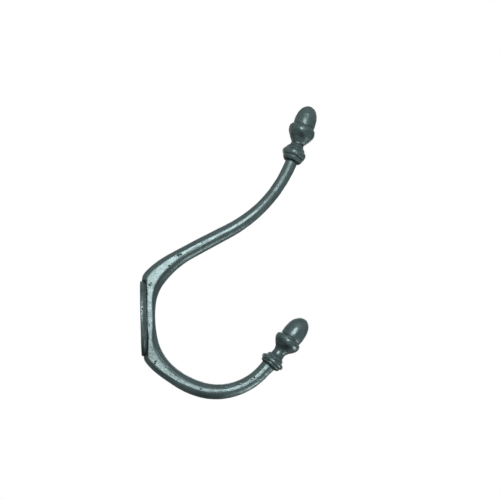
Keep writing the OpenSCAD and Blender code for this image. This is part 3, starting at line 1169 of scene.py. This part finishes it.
def new_group(name: str, inputs: dict[str, str], outputs: dict[str, str]) -> Tree:
    """Starts a shader node group with named sockets.

    Args:
        name: The group's name.
        inputs: Socket names and their kinds, Float, Color or Vector.
        outputs: The same for the outputs.

    Returns:
        The group's tree, with its input and output nodes placed.
    """
    tree = bpy.data.node_groups.new(name, "ShaderNodeTree")
    for names, way in ((inputs, "INPUT"), (outputs, "OUTPUT")):
        for socket, kind in names.items():
            tree.interface.new_socket(socket, in_out=way, socket_type=f"NodeSocket{kind}")
    tree.nodes.new("NodeGroupInput")
    tree.nodes.new("NodeGroupOutput")
    return tree


@dataclass(frozen=True)
class CastGrain:
    """Fine grain of cast iron: two layers of noise with pinholes in patches.

    The cells of the fine layer, the pinholes and their patches are shares of the coarse
    layer's.  A layer is its share of the height, its detail and its roughness.
    """

    coarse: Triple = (0.7, 3.0, 0.55)
    fine: Triple = (0.3, 2.0, 0.6)
    fine_cells: float = 2.7
    hole_cells: float = 0.55
    hole_edge: Pair = (0.10, 0.20)
    patch_cells: float = 0.3
    patch_edge: Pair = (0.56, 0.62)

    def group(self) -> Tree:
        """Makes the group.

        Returns:
            A tree that gives the grain's height and a mask of its pinholes.
        """
        tree = new_group("cast_grain", {"Place": "Vector", "Cells": "Float", "Pinholes": "Float"},
                         {"Height": "Float", "Pinhole": "Float"})
        bench = NodeBench(tree)
        place, cells, pinholes = tree.nodes["Group Input"].outputs[:3]

        def times(share: float) -> Socket:
            """The cells a metre times a share."""
            return bench.math("MULTIPLY", cells, share)

        coarse = bench.noise(place, cells, *self.coarse[1:])
        fine = bench.noise(place, times(self.fine_cells), *self.fine[1:])
        holes = bench.add("ShaderNodeTexVoronoi", Vector=place, Scale=times(self.hole_cells))
        patch = bench.noise(place, times(self.patch_cells), 1.0)
        spot = bench.math("MULTIPLY", bench.span(holes.outputs["Distance"], self.hole_edge, 1.0, 0.0),
                          bench.span(patch, self.patch_edge, 0.0, 1.0))
        spot = bench.math("MULTIPLY", spot, pinholes)
        height = bench.math("ADD", bench.math("MULTIPLY", coarse, self.coarse[0]),
                            bench.math("MULTIPLY", fine, self.fine[0]))
        out = tree.nodes["Group Output"]
        bench.feed(bench.math("SUBTRACT", height, spot), out.inputs["Height"])
        bench.feed(spot, out.inputs["Pinhole"])
        return tree


@dataclass(frozen=True)
class IronTone:
    """The iron's mottled colour, darkened by pinholes and by painted shade.

    Patches run from the body's colour to the light one, and flecks, pinholes, rim blotches and the
    painted shade part of the way to the dark one.
    """

    patch_cells: float = 160.0
    patch_detail: float = 3.0
    patch_edge: Pair = (0.38, 0.66)
    fleck_cells: float = 900.0
    fleck_detail: float = 2.0
    fleck_edge: Pair = (0.35, 0.7)
    fleck_most: float = 0.25
    marks_and_shade_most: float = 0.8

    def group(self) -> Tree:
        """Makes the group.

        Returns:
            A tree that gives the colour, and how much its pinholes, blotches and painted shade darken
            it.
        """
        tree = new_group(
            "iron_tone",
            {"Place": "Vector", "Body": "Color", "Light": "Color", "Dark": "Color",
             "Recess": "Float", "Pinhole": "Float"},
            {"Color": "Color", "MarksAndShade": "Float"})
        bench = NodeBench(tree)
        place, body, light, dark, recess, pinhole = tree.nodes["Group Input"].outputs[:6]
        patch = bench.noise(place, self.patch_cells, self.patch_detail)
        fleck = bench.noise(place, self.fleck_cells, self.fleck_detail)
        tone = bench.blend(bench.span(patch, self.patch_edge, 0.0, 1.0), body, light)
        tone = bench.blend(bench.span(fleck, self.fleck_edge, 0.0, self.fleck_most), tone, dark)
        # Pinholes and painted shade darken the colour towards the dark one.
        marks_and_shade = bench.math("MAXIMUM", pinhole, recess)
        tone = bench.blend(bench.math("MULTIPLY", marks_and_shade, self.marks_and_shade_most), tone, dark)
        out = tree.nodes["Group Output"]
        bench.feed(tone, out.inputs["Color"])
        bench.feed(marks_and_shade, out.inputs["MarksAndShade"])
        return tree


@dataclass(frozen=True)
class CastIron:
    """Dark waxed cast iron: a blue-grey body with a fine grain and a soft gloss."""

    name: str = "cast_iron"
    body: Colour = (0.078, 0.135, 0.136, 1.0)
    light: Colour = (0.103, 0.170, 0.171, 1.0)
    dark: Colour = (0.010, 0.016, 0.017, 1.0)
    metallic: float = 0.5
    marks_and_shade_metallic: float = 0.78
    ior: float = 2.0
    low_rough: float = 0.22
    high_rough: float = 0.36
    rough_cells: float = 240.0
    rough_detail: Pair = (4.0, 0.6)
    rough_edge: Pair = (0.35, 0.68)
    marks_and_shade_rough: float = 0.35
    dull_rough: float = 0.14
    grain_cells: float = 600.0
    grain_bump: float = 0.00014
    pinholes: float = 1.0

    def build(self, grain: Tree, tone: Tree) -> bpy.types.Material:
        """Makes the material.

        Args:
            grain: The cast grain group.
            tone: The iron tone group.

        Returns:
            The material.
        """
        material = bpy.data.materials.new(self.name)
        material.use_nodes = True
        bench = NodeBench(material.node_tree)
        where = bench.add("ShaderNodeTexCoord").outputs["Object"]
        recess, dull = (bench.add("ShaderNodeAttribute", attribute_name=name).outputs["Fac"]
                        for name in ("recess", "dull"))
        skin = bench.add("ShaderNodeGroup", node_tree=grain, Place=where, Cells=self.grain_cells,
                         Pinholes=self.pinholes)
        colour = bench.add("ShaderNodeGroup", node_tree=tone, Place=where, Body=self.body,
                           Light=self.light, Dark=self.dark, Recess=recess,
                           Pinhole=skin.outputs["Pinhole"])
        marks_and_shade = colour.outputs["MarksAndShade"]
        bump = bench.add("ShaderNodeBump", Strength=1.0, Distance=self.grain_bump,
                         Height=skin.outputs["Height"])
        gloss = bench.span(bench.noise(where, self.rough_cells, *self.rough_detail),
                           self.rough_edge, self.low_rough, self.high_rough)
        rough = bench.math("ADD", gloss, bench.math("MULTIPLY", marks_and_shade, self.marks_and_shade_rough))
        rough = bench.math("ADD", rough, bench.math("MULTIPLY", dull, self.dull_rough))
        shader = material.node_tree.nodes["Principled BSDF"]
        bench.feed(colour.outputs["Color"], shader.inputs["Base Color"])
        bench.feed(rough, shader.inputs["Roughness"])
        bench.feed(bump.outputs["Normal"], shader.inputs["Normal"])
        # Where shade is painted in, Metallic rises so that the dark base colour dims the reflection too.
        bench.feed(bench.span(marks_and_shade, (0.0, 1.0), self.metallic, self.marks_and_shade_metallic),
                   shader.inputs["Metallic"])
        bench.feed(self.ior, shader.inputs["IOR"])
        return material


# --- The casting ---


@dataclass
class Casting:
    """The whole hook: builds its surfaces, dresses them and seats them on the frame."""

    bar: Bar = field(default_factory=Bar)
    plate: BackPlate = field(default_factory=BackPlate)
    acorns: dict[Arm, Acorn] = field(
        default_factory=lambda: {Arm.UPPER: UPPER_ACORN, Arm.LOWER: Acorn()})
    surface: CastSkin = field(default_factory=CastSkin)
    crisp_deg: float = 38.0

    def collar_place(self, arm: Arm) -> Matrix:
        """Where a collar stands: on its arm's end, leaning upright of it and moved outwards.

        Args:
            arm: Which arm.

        Returns:
            The place in millimetres, with the acorn's own +Z along its axis.
        """
        acorn, s = self.acorns[arm], self.bar.stations(arm, np.array([self.bar.edge(arm).length]))
        x, z = s.points[0] + s.back[0] * (s.depth[0] / 2.0 + acorn.shift)
        turn = math.radians(90.0 - acorn.lean) - s.headings[0]
        return Matrix.Translation((x, 0.0, z)) @ Matrix.Rotation(turn, 4, "Y")

    def build(self, iron: bpy.types.Material) -> None:
        """Makes every surface of the casting and seats it on the frame.

        Args:
            iron: The casting's finish.
        """
        covered = {arm: acorn.sunk for arm, acorn in self.acorns.items()}
        self.add("bar", self.bar.skin(self.surface, covered), iron)
        self.add("back_plate", self.plate.skin(self.surface), iron)
        for arm, acorn in self.acorns.items():
            self.add(f"{arm.name.lower()}_acorn", acorn.skin(self.collar_place(arm), self.surface), iron)

    def add(self, name: str, skin: Skin, iron: bpy.types.Material) -> None:
        """Turns a surface into a piece that rides on the frame in place of the plain casting.

        Args:
            name: The piece's name.
            skin: Its surface.
            iron: Its finish.
        """
        piece = skin.to_piece(name, self.crisp_deg)
        piece.data.materials.append(iron)
        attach(piece, BODY)
        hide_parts(NODE)
        log.info("%s: %d faces", name, len(piece.data.polygons))


# --- The studio ---


@dataclass(frozen=True)
class Lamp:
    """A soft square lamp, placed by its direction from the hook."""

    name: str
    azimuth: float
    elevation: float
    distance: float
    size: float
    power: float


@dataclass(frozen=True)
class Studio:
    """Plain pale floor, white surroundings, soft lamps and the camera."""

    aim: Triple = (0.0661, 0.0, 0.0394)
    azimuth: float = -4.0
    elevation: float = -9.0
    distance: float = 0.75
    roll: float = -2.0
    lens: float = 90.0
    sensor: float = 36.0
    clip: Pair = (0.01, 50.0)
    # The floor: its place and size, and how far from its middle the white takes over.
    floor_z: float = -0.34
    floor_radius: float = 1.3
    floor_sides: int = 96
    floor_tone: float = 0.86
    floor_rough: float = 0.9
    white_from: float = 0.35
    white_full: float = 0.95
    # The light all round, and what the iron mirrors: the room by its height, the white
    # straight behind the hook, and the floor by its distance, in painted shade darkest near the hook.
    ambient: float = 0.38
    mirrored_low: float = 0.04
    mirrored_high: float = 0.38
    room_edge: Pair = (-0.35, 0.25)
    behind_edge: Pair = (0.6, 0.9)
    mirrored_floor: Pair = (0.03, 0.35)
    mirrored_edge: Pair = (0.10, 0.30)
    lamps: tuple[Lamp, ...] = (
        Lamp("key", -1.0, 13.5, 1.25, 0.62, 8.0),
        Lamp("low_edge", 86.0, -62.0, 0.35, 0.14, 0.28),
        Lamp("back_fill", 165.0, 25.0, 1.3, 0.80, 4.0),
    )

    def facing(self, azimuth: float, elevation: float, distance: float) -> Matrix:
        """A place that faces the hook from the direction (sin a cos e, -cos a cos e, sin e).

        Args:
            azimuth: Degrees a round from -Y towards +X.
            elevation: Degrees e above the horizon.
            distance: Metres from the aim.

        Returns:
            The place, its -Z towards the aim.
        """
        a, e = math.radians(azimuth), math.radians(elevation)
        away = Vector((math.sin(a) * math.cos(e), -math.cos(a) * math.cos(e), math.sin(e)))
        turn = away.to_track_quat("Z", "Y").to_matrix().to_4x4()
        return Matrix.Translation(Vector(self.aim) + away * distance) @ turn

    def add_camera(self) -> None:
        """Places the camera and makes it the scene's own."""
        data = bpy.data.cameras.new("camera")
        data.lens, data.sensor_width = self.lens, self.sensor
        data.clip_start, data.clip_end = self.clip
        camera = new_object("camera", data)
        spin = Matrix.Rotation(math.radians(self.roll), 4, "Z")
        camera.matrix_world = self.facing(self.azimuth, self.elevation, self.distance) @ spin
        bpy.context.scene.camera = camera

    def add_lamps(self) -> None:
        """Places the soft lamps, each turned to the hook."""
        for lamp in self.lamps:
            data = bpy.data.lights.new(lamp.name, "AREA")
            data.shape, data.size, data.energy = "SQUARE", lamp.size, lamp.power
            light = new_object(lamp.name, data)
            light.visible_camera = False
            light.matrix_world = self.facing(lamp.azimuth, lamp.elevation, lamp.distance)

    def add_world(self) -> None:
        """White surroundings for the camera and a calmer grey that lights the hook.

        The iron mirrors the white behind it too; elsewhere what it mirrors runs from dark
        below the horizon to a middle grey above it.
        """
        world = bpy.data.worlds.new("studio")
        bpy.context.scene.world = world
        world.use_nodes = True
        bench = NodeBench(world.node_tree)
        ray = bench.add("ShaderNodeLightPath").outputs
        way = bench.add("ShaderNodeSeparateXYZ",
                        Vector=bench.add("ShaderNodeTexCoord").outputs["Generated"]).outputs
        room = bench.span(way["Z"], self.room_edge, self.mirrored_low - self.ambient,
                          self.mirrored_high - self.ambient)
        behind = bench.span(way["Y"], self.behind_edge, -1.0, 1.0 - self.ambient)
        mirror = bench.math("MAXIMUM", room, behind)
        seen = bench.math("MAXIMUM", ray["Is Camera Ray"], ray["Is Transmission Ray"])
        level = bench.math("MULTIPLY", ray["Is Glossy Ray"], mirror)
        level = bench.math("ADD", level, bench.math("MULTIPLY", seen, 1.0 - self.ambient))
        shader = world.node_tree.nodes["Background"]
        shader.inputs["Color"].default_value = (1.0, 1.0, 1.0, 1.0)
        bench.feed(bench.math("ADD", level, self.ambient), shader.inputs["Strength"])

    def add_floor(self) -> None:
        """A round pale floor that fades into the white round it."""
        mesh = bpy.data.meshes.new("floor")
        a = np.arange(self.floor_sides) * 2.0 * np.pi / self.floor_sides
        rim = np.stack([np.cos(a), np.sin(a), 0.0 * a], axis=1) * self.floor_radius
        rim += [self.aim[0], 0.0, self.floor_z]
        mesh.from_pydata(rim.tolist(), [], [list(range(self.floor_sides))])
        floor = new_object("floor", mesh)
        floor.data.materials.append(self.floor_finish())

    def floor_finish(self) -> bpy.types.Material:
        """Pale matt floor, painted darker in the iron's reflections and darkest near the hook, that runs
        out into plain white.

        Returns:
            The material.
        """
        material = bpy.data.materials.new("pale_floor")
        material.use_nodes = True
        bench = NodeBench(material.node_tree)
        matt = material.node_tree.nodes["Principled BSDF"]
        ray = bench.add("ShaderNodeLightPath").outputs
        place = bench.add("ShaderNodeTexCoord").outputs["Object"]
        reach = bench.fed("ShaderNodeVectorMath", {0: place, 1: (self.aim[0], 0.0, self.floor_z)},
                          operation="DISTANCE").outputs["Value"]
        # Painted shade: reflections see the floor darker than the camera does, darkest near the hook.
        pale, low, high = ((v, v, v, 1.0) for v in (self.floor_tone, *self.mirrored_floor))
        mirrored = bench.blend(bench.span(reach, self.mirrored_edge, 0.0, 1.0), low, high)
        bench.feed(bench.blend(ray["Is Glossy Ray"], pale, mirrored), matt.inputs["Base Color"])
        bench.feed(self.floor_rough, matt.inputs["Roughness"])
        edges = (self.white_from, self.floor_radius * self.white_full)
        far = bench.math("MULTIPLY", bench.span(reach, edges, 0.0, 1.0), ray["Is Camera Ray"])
        white = bench.add("ShaderNodeEmission", Color=(1.0, 1.0, 1.0, 1.0), Strength=1.0)
        mix = bench.fed("ShaderNodeMixShader", {0: far, 1: matt.outputs[0], 2: white.outputs[0]})
        bench.feed(mix.outputs[0], material.node_tree.nodes["Material Output"].inputs["Surface"])
        return material

    def build(self) -> None:
        """Sets up the whole studio."""
        self.add_camera()
        self.add_lamps()
        self.add_world()
        self.add_floor()
        bpy.context.scene.view_settings.view_transform = "Standard"


def main() -> None:
    """Builds the studio and the casting."""
    logging.basicConfig(level=logging.INFO, format="%(name)s %(message)s")
    Studio().build()
    iron = CastIron().build(CastGrain().group(), IronTone().group())
    Casting().build(iron)


if __name__ == "__main__":
    main()
